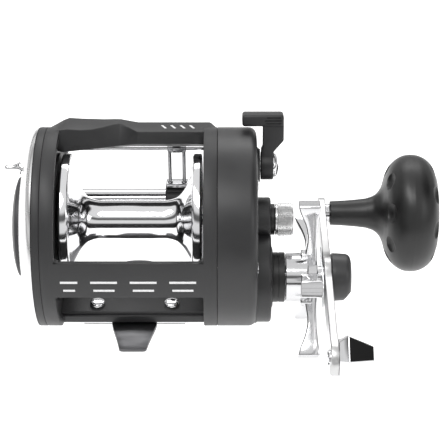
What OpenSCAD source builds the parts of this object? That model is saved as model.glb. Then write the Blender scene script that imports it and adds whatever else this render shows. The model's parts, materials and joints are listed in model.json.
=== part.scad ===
// Trolling reel: a level-wind conventional reel with a star drag and a counterweighted crank.
// X runs along the spool's axis to the handle, Y forward to the rod tip, Z up from the foot's underside.

/* [Side plates and frame] */
// Radius of both side plates and of the frame's rings
plate_r = 44.8; // [44.6:0.1:45.2]
// Height of the side plates' centre above the foot
plate_z = 44.25; // [44.2:0.05:44.4]
// Half the clear width between the frame's rings
ring_in = 32; // [32:0.1:32.2]
// Half the width over the frame's rings
ring_out = 38; // [38:0.1:38.1]
// Clear radius inside each ring
ring_bore = 33; // [32.9:0.05:33.1]

/* [Spool] */
// Height of the spool's axis above the foot
spool_z = 48; // [47.9:0.1:48.1]
// Radius of the spool's flanges
flange_r = 29.7; // [29:0.1:29.8]
// Half the width over the flanges
spool_half = 31.2; // [31:0.1:31.3]
// Radius of the arbor that the line is wound on
arbor_r = 8.65; // [8.2:0.05:9]
// Radius of the spool's shaft
shaft_r = 2.5; // [2.4:0.05:2.5]

/* [Gears] */
// Gear module, which is the pitch diameter for each tooth
gear_module = 0.8; // [0.8:0.01:0.81]
// Teeth on the main gear
main_teeth = 47; // [46:1:47]
// Teeth on the drive pinion
pinion_teeth = 18; // [18:1:19]
// Teeth on the level-wind pinion, idler and worm gear
wind_teeth = [11, 36, 14]; // [11:1:36]
// How far the crank's axis lies behind the spool's axis
drive_back = 14; // [13.8:0.1:14.2]

/* [Right housing] */
// Where the housing's flat face is
face_x = 55.5; // [55.4:0.1:55.7]
// Where the face of the gear boss is
boss_x = 62; // [61.9:0.1:62]
// Radius of the gear boss
boss_r = 20.2; // [20:0.1:20.4]

/* [Crank and knob] */
// Inner face of the crank arm
arm_x = 85.7; // [85.6:0.1:86]
// Thickness of the crank arm
arm_t = 3.4; // [3:0.1:3.6]
// From the crank's axis forward to the knob's axis
knob_reach = 53.5; // [50:0.5:56]
// From the crank's axis back to the counterweight
weight_reach = 60; // [56:0.5:62]
// Greatest radius of the knob
knob_r = 28; // [26:0.5:28]
// Arms on the star wheel
star_arms = 5; // [4:1:6]
// Radius at the tips of the star wheel's arms
star_r = 36.2; // [34:0.1:37]

/* [Level wind] */
// How far the worm and the guide rod lie in front of the spool's axis
worm_y = 36; // [35.9:0.1:36]
// Height of the worm's axis
worm_z = 36.1; // [36:0.1:36.2]
// Height of the upper guide rod
rod_z = 64; // [63:0.5:65]
// Outer radius of the worm's tube
tube_r = 5; // [4.9:0.1:5]
// Where the line guide stands along the worm
guide_x = 19; // [-20:1:20]
// Centre distance between the guide's two posts
post_gap = 6.6; // [6.4:0.1:7]

/* [Clutch lever and click] */
// The lever's pivot: forward of the spool's axis, and height
lever_at = [9, 71]; // [9:0.5:71]
// From the lever's pivot to the middle of its thumb bar
lever_reach = 21.1; // [21:0.1:21.4]
// The click button's place: forward of the spool's axis, and height
click_at = [6, 71.5]; // [6:0.5:72]

/* [Foot] */
// Length of the foot along the rod
foot_len = 71.4; // [68:0.2:74]
// Width of the foot's blade at its middle and at its ends
blade_w = [20.7, 12.6]; // [12:0.1:21]
// Width and length of the foot's plate under the base
foot_plate = [52.6, 31]; // [30:0.2:53]
// Height of the frame's base over the foot's underside
base_top = 8; // [7.8:0.1:8.4]

/* [Hidden] */

e = 0.1;            // how far a cut runs past a face
run = 0.06;         // radial clearance of a running fit
seat = 0.02;        // radial clearance of a seated piece
addendum = 0.5;     // tooth height outside the pitch circle
dedendum = 0.9;     // tooth depth inside the pitch circle

// Gear train
centre_gap = gear_module * (main_teeth + pinion_teeth) / 2;
drive_y = -drive_back;
drive_z = spool_z - sqrt(centre_gap * centre_gap - drive_back * drive_back);
drive_turn = atan2(spool_z - drive_z, drive_back);
main_x = [45.2, 50.2];
pinion_x = [44.4, 53.4];
washer_r = 14;

// Level-wind train: the idler stands where its two centre distances meet
wind_x = [-37.4, -34.8];
pinion_to_idler = gear_module * (wind_teeth[0] + wind_teeth[1]) / 2;
idler_to_worm = gear_module * (wind_teeth[1] + wind_teeth[2]) / 2;
worm_span = norm([worm_y, worm_z - spool_z]);
worm_turn = atan2(worm_z - spool_z, worm_y);
idler_turn = worm_turn - acos((pinion_to_idler * pinion_to_idler + worm_span * worm_span
    - idler_to_worm * idler_to_worm) / (2 * pinion_to_idler * worm_span));
idler_y = pinion_to_idler * cos(idler_turn);
idler_z = spool_z + pinion_to_idler * sin(idler_turn);
idler_phase = idler_turn + 180 + 180 / wind_teeth[1];
to_worm = atan2(worm_z - idler_z, worm_y - idler_y);
worm_phase = to_worm + 180 + 180 / wind_teeth[2]
    + (to_worm - idler_phase) * wind_teeth[1] / wind_teeth[2];

// Stations along X, from the left end to the right
rim_x = -41.4;      // outer face of the left plate
dome_x = -49.3;     // top of the silver ring
disc_seat_x = -48.1; // step in the ring that the centre disc sits on
disc_x = -53.8;     // top of the centre disc
collar_x = 68.2;    // end of the drive collar
star_x = 68.5;      // inner face of the star wheel's drum
hub_x = 82.8;       // end of the star wheel's hub
arm_out = arm_x + arm_t;
knob_x = [91.5, 142.4];
knob_y = drive_y + knob_reach;
weight_y = drive_y - weight_reach;

// Shared places
bearing_r = 6;
screw_ring = [38.6, 40];            // where the right and left plate screws stand
right_screw_turns = [25, 120, 175, 305];
left_screw_turns = [75, 195, 300];
bolt_at = [17, 10];
click_turn = atan2(click_at[1] - plate_z, click_at[0]);
post_reach = 16.6;                  // from the spool's axis to each yoke post
lever_turn = atan2(lever_at[1] - plate_z, lever_at[0]);

// Rod, ring and turned solid, all with their axis along X
module rod_x(x0, x1, r, y = 0, z = 0, fn = 72) {
    translate([x0, y, z]) rotate([0, 90, 0]) cylinder(h = x1 - x0, r = r, $fn = fn);
}

module ring_x(x0, x1, r_out, r_in, y = 0, z = 0) {
    difference() {
        rod_x(x0, x1, r_out, y, z);
        rod_x(x0 - e, x1 + e, r_in, y, z);
    }
}

// The outline's points are [x, radius]
module turned_x(outline, y = 0, z = 0) {
    translate([0, y, z]) rotate([0, 90, 0])
        rotate_extrude($fn = 120) polygon([for (p = outline) [p[1], p[0]]]);
}

// The outline's points are [y, z]
module prism_x(x0, x1) {
    translate([x0, 0, 0]) rotate([90, 0, 90]) linear_extrude(x1 - x0) children();
}

// Puts its children at a radius and a turn about an axis: 0 is forward and 90 is up
module at_turn(turn, r, y = 0, z = 0) {
    translate([0, y + r * cos(turn), z + r * sin(turn)]) children();
}

// Points of a round edge, as [x, radius]
function edge(x, r, size, from, to) =
    [for (i = [0 : 4]) let (a = from + (to - from) * i / 4) [x + size * cos(a), r + size * sin(a)]];

// A spur gear's outline, with its first tooth at the turn called phase
function gear_outline(teeth, phase) =
    let (pitch_r = gear_module * teeth / 2, root = pitch_r - dedendum, tip = pitch_r + addendum)
    [for (i = [0 : teeth - 1], k = [[root, -0.26], [tip, -0.11], [tip, 0.11], [root, 0.26]])
        let (a = phase + (i + k[1]) * 360 / teeth) [k[0] * cos(a), k[0] * sin(a)]];

module gear_x(x, teeth, phase, bore, y, z) {
    prism_x(x[0], x[1]) translate([y, z]) difference() {
        polygon(gear_outline(teeth, phase));
        circle(r = bore, $fn = 48);
    }
}

// A ratchet's outline: each tooth rises slowly and drops square
function saw_outline(teeth, tip, root) =
    [for (i = [0 : teeth - 1], k = [[root, 0.02], [tip, 0.9], [tip, 1]])
        let (a = (i + k[1]) * 360 / teeth) [k[0] * cos(a), k[0] * sin(a)]];

module saw_x(x0, x1, teeth, tip, root, bore, y, z) {
    prism_x(x0, x1) translate([y, z]) difference() {
        polygon(saw_outline(teeth, tip, root));
        circle(r = bore, $fn = 48);
    }
}

// ---- Frame ----

// Left ring is hollowed for the level-wind gears, with a lip at its inner face
left_lip_x = -34.2;
rear_bar_z = [36, 53.5];
worm_pocket_r = 6.7;
bush_r = 3.2;

module frame_rings() {
    for (side = [-1, 1])
        rod_x(side > 0 ? ring_in : -ring_out, side > 0 ? ring_out : -ring_in, plate_r, 0, plate_z);
}

module rear_bar() {
    wall = 3.6;
    intersection() {
        ring_x(-ring_out, ring_out, plate_r, plate_r - wall, 0, plate_z);
        translate([-ring_out, -plate_r - 1, rear_bar_z[0]])
            cube([2 * ring_out, plate_r / 2, rear_bar_z[1] - rear_bar_z[0]]);
    }
}

module top_bar() {
    prism_x(-ring_out, ring_out) translate([0, plate_z])
        polygon([[12.5, 42], [26, 39.4], [34, 29.2], [29, 24.8], [13, 35.4]]);
}

module thumb_rest() {
    prism_x(-ring_out + 2, -2) translate([0, plate_z])
        polygon([[10.5, 42.3], [27.2, 40.2], [34.2, 29.2], [29, 24.8], [20, 28.6], [12, 33.4]]);
}

module base_bar() {
    depth = 32;
    translate([-ring_out, -depth / 2, 2.3]) cube([2 * ring_out, depth, base_top - 2.3]);
}

module frame() {
    color("dimgray") difference() {
        union() {
            difference() {
                frame_rings();
                rod_x(-ring_out - e, left_lip_x, plate_r - 6.8, 0, plate_z);
                rod_x(-ring_out - e, ring_out + e, ring_bore, 0, plate_z);
            }
            rear_bar();
            top_bar();
            thumb_rest();
            base_bar();
        }
        rod_x(-ring_out - e, left_lip_x, worm_pocket_r, worm_y, worm_z);
        rod_x(left_lip_x - e, -ring_in + e, bush_r, worm_y, worm_z);
        rod_x(ring_in - e, 35.6, bush_r, worm_y, worm_z);
        rod_x(-35, 35, 1 + seat, worm_y, rod_z);
        for (turn = right_screw_turns)
            at_turn(turn, screw_ring[0], 0, plate_z) rod_x(33, ring_out + e, 1.5 + seat);
        for (turn = left_screw_turns)
            at_turn(turn, screw_ring[1], 0, plate_z) rod_x(-ring_out - e, -34.5, 1.5 + seat);
        for (x = [-1, 1], y = [-1, 1])
            translate([x * bolt_at[0], y * bolt_at[1], 0]) cylinder(h = 12, r = 2, $fn = 48);
    }
}

// ---- Left side ----

module left_plate() {
    color("#2b2b2d") difference() {
        rod_x(rim_x, -ring_out, plate_r, 0, plate_z);
        rod_x(rim_x - e, -ring_out + e, bearing_r, 0, spool_z);
        for (turn = left_screw_turns)
            at_turn(turn, screw_ring[1], 0, plate_z) rod_x(rim_x - e, -ring_out + e, 1.5 + seat);
    }
}

module silver_ring() {
    slot_w = 3.8;
    slot_r = [25.4, 28];
    color("silver") difference() {
        turned_x([
            [rim_x, 43.2], [rim_x, plate_r], [-43, 44.2], [-44.1, 42.9], [-45.2, 40.6], [-46.2, 37.6],
            [-47.2, 34], [-48, 30.5], [-48.7, 26.8], [dome_x, 22.5], [disc_seat_x, 22.5], [disc_seat_x, 20],
            [-47.3, 20], [-46.9, 24], [-46, 30.2], [-44.5, 36.6], [-43.6, 40], [-43, 42.6]
        ], 0, plate_z);
        translate([0, 0, plate_z]) rotate([click_turn, 0, 0]) {
            translate([dome_x - 1, slot_r[0], -slot_w / 2]) cube([6, slot_r[1] - slot_r[0], slot_w]);
            rod_x(dome_x - 1, dome_x + 5, slot_w / 2, slot_r[0]);
            rod_x(dome_x - 1, dome_x + 5, slot_w / 2, slot_r[1]);
        }
    }
}

module centre_disc() {
    color("#5a5c60") turned_x([
        [disc_seat_x, 0], [disc_seat_x, 22.4], [-50.8, 22.4], [-51.3, 21.8], [-52.5, 17.6], [-53.3, 12],
        [-53.7, 6], [disc_x, 0]
    ], 0, plate_z);
}

// Thin inner wall that carries the idler's axle
module left_gear_cover() {
    color("#3a3a3c") {
        difference() {
            rod_x(-34, -32.5, ring_bore - seat, 0, plate_z);
            rod_x(-34 - e, -32.5 + e, 5.6, 0, spool_z);
        }
        rod_x(-37.8, -33.9, 1.5, idler_y, idler_z);
    }
}

module click_gear() {
    color("goldenrod") saw_x(-45.2, -43.2, 18, 5.9, 4.9, shaft_r + seat, 0, spool_z);
}

module click_button() {
    stud_r = 1.5;
    tongue_end = 8.8;
    toward = atan2(click_at[1] - spool_z, click_at[0]);
    reach = norm([click_at[0], click_at[1] - spool_z]);
    color("silver") {
        turned_x([
            [-44, 0], [-44, 3.3], [-45.5, 3.3], [-45.5, stud_r], [-49.5, stud_r], [-49.5, 2.8],
            [-50.1, 2.8], [-51.6, 1.9], [-53, stud_r], [-56, stud_r], [-56.6, 1.1], [-56.9, 0]
        ], click_at[0], click_at[1]);
        translate([0, 0, spool_z]) rotate([toward, 0, 0])
            translate([-45.6, tongue_end, -1.5]) cube([1.6, reach - tongue_end, 3]);
    }
}

// Leaf that holds the click button in either place
module click_spring() {
    color("gainsboro") translate([0, 0, plate_z]) rotate([click_turn, 0, 0])
        translate([-45.4, 12.5, 4]) cube([4, 12, 0.5]);
}

// ---- Right side ----

module housing_walls() {
    difference() {
        union() {
            turned_x(concat([[ring_out, 0], [ring_out, plate_r]],
                edge(face_x - 3.5, plate_r - 3.5, 3.5, 90, 0), [[face_x, 0]]), 0, plate_z);
            turned_x(concat([[face_x - 1, 0], [face_x - 1, boss_r]],
                edge(boss_x - 1.5, boss_r - 1.5, 1.5, 90, 0), [[boss_x, 0]]), drive_y, drive_z);
            rod_x(face_x - 1, 61.9, 10, 0, spool_z);
            rod_x(face_x - 1, 57, 7.6, lever_at[0], lever_at[1]);
        }
        turned_x([[ring_out - e, 0], [ring_out - e, 42.8], [52, 42.8], [53.4, 41.2], [53.4, 0]],
            0, plate_z);
    }
}

module right_housing() {
    column_r = 3.3;
    color("#2d2d30") difference() {
        union() {
            housing_walls();
            for (turn = right_screw_turns)
                at_turn(turn, screw_ring[0], 0, plate_z) rod_x(ring_out, 54, column_r);
        }
        rod_x(53.3, 60.2, boss_r - 2, drive_y, drive_z);
        rod_x(53.3, 56.3, 8.7, 0, spool_z);
        rod_x(56.2, 59.6, bearing_r, 0, spool_z);
        rod_x(59.5, 62.1, 3, 0, spool_z);
        rod_x(60.1, boss_x + e, 7.45, drive_y, drive_z);
        rod_x(53, 57.1, 3 + run, lever_at[0], lever_at[1]);
        for (turn = right_screw_turns)
            at_turn(turn, screw_ring[0], 0, plate_z) rod_x(ring_out - e, face_x + e, 1.5 + seat);
    }
}

module bridge_plate() {
    color("lightgray") difference() {
        rod_x(ring_out, 39.8, 34.8, 0, plate_z);
        rod_x(ring_out - e, 40, 3.4, 0, spool_z);
        rod_x(ring_out - e, 40, 5, drive_y, drive_z);
        rod_x(ring_out - e, 40, 3 + run, lever_at[0], lever_at[1]);
        translate([0, 0, spool_z]) rotate([drive_turn - 90, 0, 0])
            for (side = [-1, 1]) rod_x(ring_out - e, 40, 1.5, side * post_reach);
    }
}

module drive_bush() {
    color("goldenrod") ring_x(34.5, 40, 5 - seat, 3 + run, drive_y, drive_z);
}

module one_way_bearing() {
    color("lightsteelblue") ring_x(58.4, 64.2, 7.4, 5.2 + run, drive_y, drive_z);
}

module drive_collar() {
    color("#222224") difference() {
        union() {
            rod_x(boss_x, 62.5, 13.5, drive_y, drive_z);
            rod_x(62.4, collar_x, 11.25, drive_y, drive_z);
        }
        rod_x(boss_x - e, 64.3, 7.45, drive_y, drive_z);
        rod_x(64.2, collar_x + e, 5.6, drive_y, drive_z);
    }
}

module tension_seat() {
    color("#1c1c1e") difference() {
        union() {
            rod_x(61.9, 63.7, 7, 0, spool_z);
            rod_x(63.6, 68.5, 5.2, 0, spool_z);
        }
        rod_x(61.8, 68.6, 3, 0, spool_z);
    }
}

module tension_shim() {
    color("goldenrod") rod_x(66, 67.2, 2.98, 0, spool_z);
}

module tension_cap() {
    cap_r = 7.65;
    color("silver") turned_x([
        [64, 5.3], [64, 7.2], [64.7, 7.2], [64.7, 6.8], [65, cap_r], [71.4, cap_r], [72, 7],
        [72, 0], [69.4, 0], [69.4, 5.3]
    ], 0, spool_z);
}

// ---- Spool ----

module spool() {
    // one half of the outline, from the arbor out over the flange and back to the hub
    half = [
        [15.4, arbor_r], [18.6, 9.5], [20.8, 10.8], [23.2, 13.9], [25, 18.6], [26.6, 24.9], [27, 28.7],
        [27.4, 29.4], [28.2, flange_r], [spool_half - 0.9, flange_r], [spool_half, 28.9],
        [spool_half, 26.8], [29.4, 26], [28.2, 20], [26, 14.6], [23.6, 12], [22, 9],
        [22, 6.6], [spool_half, 6.6], [spool_half, shaft_r + seat]
    ];
    other_half = [for (i = [len(half) - 1 : -1 : 0]) [-half[i][0], half[i][1]]];
    color("gainsboro") turned_x(concat(half, other_half), 0, spool_z);
}

module spool_shaft() {
    dog_x = 41.4;
    color("silver") {
        rod_x(-46, 65.8, shaft_r, 0, spool_z);
        translate([dog_x, 0, spool_z - 4.4]) cylinder(h = 8.8, r = 0.7, $fn = 32);
    }
}

module spool_bearings() {
    color("lightsteelblue") {
        ring_x(rim_x + 0.2, -38.2, bearing_r - seat, shaft_r + run, 0, spool_z);
        ring_x(56.4, 59.5, bearing_r - seat, shaft_r + run, 0, spool_z);
    }
}

// ---- Level wind ----

module wind_pinion() {
    color("ivory") gear_x(wind_x, wind_teeth[0], idler_turn, shaft_r + seat, 0, spool_z);
}

module wind_idler() {
    color("ivory") gear_x(wind_x, wind_teeth[1], idler_phase, 1.5 + run, idler_y, idler_z);
}

module worm_gear() {
    color("ivory") gear_x(wind_x, wind_teeth[2], worm_phase, 1.6 + seat, worm_y, worm_z);
}

// One screw thread on a core, between plain journals
module worm_shaft() {
    crest = 3;
    core = 2.1;
    half = 28;
    turns = 7;
    color("silver") {
        rod_x(-37.6, -half, 1.6, worm_y, worm_z);
        rod_x(half, 35.3, 1.6, worm_y, worm_z);
        translate([-half, worm_y, worm_z]) rotate([0, 90, 0])
            linear_extrude(2 * half, twist = -360 * turns, slices = 14 * turns)
                polygon([for (i = [0 : 11]) let (a = i * 30, r = i < 4 ? crest : core)
                    [r * cos(a), r * sin(a)]]);
    }
}

module worm_bushes() {
    color("goldenrod") {
        ring_x(left_lip_x, -ring_in, bush_r - seat, 1.6 + run, worm_y, worm_z);
        ring_x(ring_in, 35.6, bush_r - seat, 1.6 + run, worm_y, worm_z);
    }
}

module worm_tube() {
    slot_half = 27;
    color("silver") difference() {
        ring_x(-ring_in, ring_in, tube_r, 3.6, worm_y, worm_z);
        translate([-slot_half, worm_y - 1.9, worm_z - tube_r - 1]) cube([2 * slot_half, 3.8, 4]);
    }
}

module guide_rod() {
    color("silver") rod_x(-35, 35, 1, worm_y, rod_z, 48);
}

saddle = 7.1;       // from the worm's axis up to the seat of the guide's head

// Carriage that slides on the worm's tube, with a boss below for the pawl
module guide_carriage() {
    half = 5.5;
    color("#252527") difference() {
        union() {
            rod_x(guide_x - half, guide_x + half, 7, worm_y, worm_z);
            translate([guide_x - half, worm_y - 3.4, worm_z]) cube([2 * half, 7.4, saddle]);
            translate([guide_x, worm_y, worm_z - 9.4]) cylinder(h = 5, r = 3.2, $fn = 48);
        }
        rod_x(guide_x - half - e, guide_x + half + e, tube_r + run, worm_y, worm_z);
        translate([guide_x, worm_y, worm_z - 10]) cylinder(h = 6, r = 1.5 + run, $fn = 48);
    }
}

// Block, two line posts and the eye that runs on the upper rod
module guide_head() {
    foot_z = worm_z + saddle;
    block = [10.4, 5, 2.6];
    color("silver") difference() {
        union() {
            translate([guide_x - block[0] / 2, worm_y - 2.2, foot_z]) cube(block);
            for (side = [-1, 1])
                translate([guide_x + side * post_gap / 2, worm_y, foot_z + 1])
                    cylinder(h = rod_z - foot_z, r = 0.85, $fn = 32);
            translate([guide_x - 4.3, worm_y - 1.7, rod_z - 1.6]) cube([8.6, 3.4, 3.2]);
        }
        rod_x(guide_x - 5, guide_x + 5, 1 + run, worm_y, rod_z);
    }
}

module guide_pawl() {
    color("goldenrod") {
        translate([guide_x, worm_y, worm_z - 9.4]) cylinder(h = 6, r = 1.5, $fn = 48);
        translate([guide_x - 0.5, worm_y - 1, worm_z - 3.5]) cube([1, 2, 0.2]);
    }
}

module pawl_nut() {
    color("silver") difference() {
        translate([guide_x, worm_y, worm_z - 11.4]) cylinder(h = 4.2, r = 4.1, $fn = 48);
        translate([guide_x, worm_y, worm_z - 9.7]) cylinder(h = 4, r = 3.2 + seat, $fn = 48);
    }
}

// ---- Crank train ----

module drive_shaft() {
    color("silver") {
        rod_x(34.8, 93.6, 3, drive_y, drive_z);
        rod_x(40.2, 41.2, 4.6, drive_y, drive_z);
    }
}

module ratchet_wheel() {
    color("lightgray") saw_x(41.4, 43, 16, 12, 10.2, 3 + seat, drive_y, drive_z);
}

dog_at = [-26.8, 38.4];

// Pawl that drops into the ratchet to stop the crank from running back
module ratchet_dog() {
    color("goldenrod") prism_x(41.4, 43) difference() {
        union() {
            translate(dog_at) circle(r = 2.4, $fn = 40);
            polygon([dog_at + [0, 2.4], dog_at + [-2, -1], [-25.1, 33.2], [-23.9, 34.4]]);
        }
        translate(dog_at) circle(r = 1.06, $fn = 32);
    }
}

module main_gear() {
    color("goldenrod") difference() {
        gear_x(main_x, main_teeth, drive_turn, 3 + seat, drive_y, drive_z);
        rod_x(46.6, main_x[1] + e, washer_r + 0.3, drive_y, drive_z);
    }
}

module drag_fibre_washers() {
    color("#4a3b2a") for (x = [46.6, 48.2, 49.8])
        ring_x(x, x + 0.8, washer_r, 3.2, drive_y, drive_z);
}

module drag_steel_washers() {
    color("lightgray") for (x = [47.4, 49]) ring_x(x, x + 0.8, washer_r, 3.2, drive_y, drive_z);
}

module drag_sleeve() {
    color("silver") difference() {
        union() {
            rod_x(50.6, 51.8, 12.5, drive_y, drive_z);
            rod_x(51.7, 68.4, 5.2, drive_y, drive_z);
        }
        rod_x(50.5, 68.5, 3 + seat, drive_y, drive_z);
    }
}

module spring_washers() {
    color("lightgray") for (x = [68.4, 69.4]) ring_x(x, x + 0.9, 5.2, 3.2, drive_y, drive_z);
}

// An arm that points forward: narrow at its waist and flared at its tip
module star_arm() {
    half_w = 2.6;
    tip_w = 3.75;
    rotate(180, [1, 1, 0]) {
        linear_extrude(2 * half_w, center = true)
            polygon([[7, 76.5], [7, hub_x], [20, 82.6], [29, 83], [29, 76.4], [21, 78.2], [12, 77.6]]);
        linear_extrude(2 * tip_w, center = true)
            polygon([[28, 76.8], [28, 82.9], [star_r, 83.7], [star_r, 73.8], [32, 75]]);
    }
}

module star_wheel() {
    first_turn = 153.8;
    color("silver") difference() {
        union() {
            rod_x(star_x, 78.3, 11, drive_y, drive_z);
            rod_x(78.2, hub_x, 8, drive_y, drive_z);
            for (i = [0 : star_arms - 1])
                translate([0, drive_y, drive_z]) rotate([first_turn + i * 360 / star_arms, 0, 0]) star_arm();
        }
        rod_x(star_x - e, 70.6, 5.8, drive_y, drive_z);
        rod_x(70, hub_x + e, 3 + run, drive_y, drive_z);
    }
}

module arm_spacer() {
    color("silver") ring_x(83.2, arm_x, 5, 3 + seat, drive_y, drive_z);
}

// Bowed leaf between the star wheel and the crank arm
module click_leaf() {
    color("gray") prism_x(84.7, 85.2) translate([drive_y, drive_z]) difference() {
        translate([-17, -6.2]) square([34, 12.4]);
        circle(r = 5 + seat, $fn = 48);
    }
}

module crank_arm() {
    end_r = 7.3;
    hub_r = 9.6;
    waist = 5.2;
    color("gainsboro") prism_x(arm_x, arm_out) translate([drive_y, drive_z]) difference() {
        union() {
            circle(r = hub_r, $fn = 72);
            translate([knob_reach, 0]) circle(r = end_r, $fn = 72);
            translate([-weight_reach, 0]) circle(r = end_r, $fn = 72);
            polygon([
                [knob_reach, end_r], [knob_reach - 12, waist + 0.6], [14, 6.4], [4, hub_r - 0.8],
                [-4, hub_r - 0.8], [-14, 6.4], [12 - weight_reach, waist + 0.6], [-weight_reach, end_r],
                [-weight_reach, -end_r], [12 - weight_reach, -waist - 0.6], [-14, -6.4],
                [-4, 0.8 - hub_r], [4, 0.8 - hub_r], [14, -6.4], [knob_reach - 12, -waist - 0.6],
                [knob_reach, -end_r]
            ]);
        }
        circle(r = 3 + seat, $fn = 48);
        translate([knob_reach, 0]) circle(r = 2.5 + seat, $fn = 48);
        translate([-weight_reach, 0]) circle(r = 2 + seat, $fn = 48);
    }
}

module crank_nut() {
    color("silver") difference() {
        rod_x(arm_out, 93.2, 6, drive_y, drive_z, 6);
        rod_x(arm_x, 94, 3 + seat, drive_y, drive_z);
    }
}

module nut_cap() {
    color("#2a2a2c") turned_x([
        [arm_out, 7.4], [arm_out, 10.8], [95.6, 10.5], [97.2, 9.6], [98, 7.6], [98, 0], [94.4, 0], [94.4, 7.4]
    ], drive_y, drive_z);
}

module knob_post() {
    color("silver") turned_x([
        [84.5, 0], [84.5, 3], [85.1, 4.2], [arm_x, 4.2], [arm_x, 2.5], [arm_out, 2.5], [arm_out, 4.5],
        [91.2, 4.5], [91.2, 2.5], [133.4, 2.5], [133.4, 4.4], [135, 4.4], [135, 0]
    ], knob_y, drive_z);
}

module knob() {
    mid_x = 129.6;
    half_x = knob_x[1] - mid_x;
    flat = 0.72;
    // round head as a flattened circle, from the inner side over the rim to the outer face
    head = [for (a = [150 : -7.5 : 0])
        [mid_x + half_x * cos(a), knob_r * pow(sin(a), flat)]];
    color("#1e1e20") turned_x(concat(
        [[knob_x[0], 2.5 + run], [knob_x[0], 5.7], [109, 7.1], [112.4, 8.1], [115, 10.2], [117, 13.4]],
        head,
        [[knob_x[1], 5.2], [133, 5.2], [133, 2.5 + run]]), knob_y, drive_z);
}

module knob_cap() {
    color("#2a2a2c") rod_x(139.4, 141.2, 5.18, knob_y, drive_z);
}

module counterweight() {
    wide_x = 93;
    end_x = 103.6;
    color("silver") difference() {
        translate([0, weight_y, drive_z]) rotate([0, 90, 0]) {
            translate([0, 0, arm_out]) cylinder(h = wide_x - arm_out, r1 = 8.6, r2 = 11.6, $fn = 6);
            translate([0, 0, wide_x]) cylinder(h = end_x - wide_x, r1 = 11.6, r2 = 6.4, $fn = 6);
        }
        rod_x(arm_x, 97, 2 + seat, weight_y, drive_z);
    }
}

module weight_screw() {
    color("silver") {
        rod_x(84.5, arm_x, 3.6, weight_y, drive_z);
        rod_x(84.6, 96.6, 2, weight_y, drive_z);
    }
}

// ---- Clutch ----

module drive_pinion() {
    neck_r = 4.6;
    color("goldenrod") difference() {
        union() {
            gear_x(pinion_x, pinion_teeth, drive_turn + 180 + 180 / pinion_teeth, shaft_r, 0, spool_z);
            rod_x(41.8, pinion_x[0] + e, neck_r, 0, spool_z);
            rod_x(40.9, 41.9, 6.2, 0, spool_z);
        }
        rod_x(40, 54, shaft_r + run, 0, spool_z);
        translate([40.8, -1, spool_z - 7]) cube([1.6, 2, 14]);
    }
}

// Fork that lifts the pinion off the spool's dog; its open side faces the main gear
module clutch_yoke() {
    plate_w = 6;
    color("lightgray") translate([0, 0, spool_z]) rotate([drive_turn - 90, 0, 0])
        prism_x(42.4, 43.9) difference() {
            union() {
                circle(r = 8.6, $fn = 72);
                translate([-post_reach, -plate_w / 2]) square([2 * post_reach, plate_w]);
                for (side = [-1, 1]) translate([side * post_reach, 0]) circle(r = 3.4, $fn = 48);
                translate([-6, 4]) square([6, 10]);
            }
            circle(r = 4.8, $fn = 48);
            translate([-4.8, -12]) square([9.6, 12]);
            translate([-9, -12]) square([18, 11]);
            for (side = [-1, 1]) translate([side * post_reach, 0]) circle(r = 1.5 + run, $fn = 40);
        }
}

module yoke_posts() {
    color("silver") translate([0, 0, spool_z]) rotate([drive_turn - 90, 0, 0])
        for (side = [-1, 1]) {
            rod_x(ring_out, 52.6, 1.5 - seat, side * post_reach);
            rod_x(52.5, 53.3, 2.6, side * post_reach);
        }
}

// Close-coiled springs, drawn as short as they are when the clutch is out
module yoke_springs() {
    wire = 0.4;
    color("gray") translate([0, 0, spool_z]) rotate([drive_turn - 90, 0, 0])
        for (side = [-1, 1]) turned_x(concat(
            [[43.9, 1.7], [49.7, 1.7]],
            [for (i = [0 : 11]) [49.7 - i * 5.8 / 11, i % 2 == 0 ? 2.1 : 2.1 + wire]]),
            side * post_reach);
}

module clutch_cam() {
    toward_spool = atan2(spool_z - lever_at[1], -lever_at[0]);
    color("silver") translate([0, lever_at[0], lever_at[1]]) {
        rod_x(38.2, 58, 3);
        ring_x(58, 62.6, 3, 1.5 + seat);
        rod_x(40.4, 41.7, 6);
        rotate([toward_spool, 0, 0]) translate([40.5, 4.5, -2.2]) cube([1.1, 9.5, 4.4]);
    }
}

// Local axes: Z runs from the pivot out to the thumb bar
module clutch_lever() {
    half_w = 4.2;
    bar_t = 5.4;
    color("#262628") translate([0, lever_at[0], lever_at[1]]) rotate([lever_turn - 90, 0, 0])
        difference() {
            union() {
                rod_x(57.3, 62.9, 6.4);
                translate([0, half_w, 0]) rotate([90, 0, 0]) linear_extrude(2 * half_w) polygon([
                    [57.3, 0], [62.9, 0], [62.9, 6], [67.5, 11.4], [67.5, lever_reach + 1.6],
                    [66.4, lever_reach + bar_t / 2], [58, lever_reach + bar_t / 2], [58, 7.4], [57.3, 6]
                ]);
                translate([49, -half_w - 0.8, lever_reach - bar_t / 2])
                    cube([18.5, 2 * half_w + 1.6, bar_t]);
            }
            rod_x(57, 63, 3 + seat);
        }
}

module lever_screw() {
    color("silver") {
        turned_x([[62.9, 0], [62.9, 5.6], [63.8, 5.4], [64.8, 4.2], [65.5, 2.2], [65.7, 0]],
            lever_at[0], lever_at[1]);
        rod_x(58.4, 63, 1.5, lever_at[0], lever_at[1]);
    }
}

// ---- Foot and fasteners ----

module foot_base() {
    color("silver") difference() {
        translate([-foot_plate[0] / 2, -foot_plate[1] / 2, 1.2]) cube([foot_plate[0], foot_plate[1], 1.1]);
        for (x = [-1, 1], y = [-1, 1])
            translate([x * bolt_at[0], y * bolt_at[1], 0]) cylinder(h = 4, r = 1.98, $fn = 48);
    }
}

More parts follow.
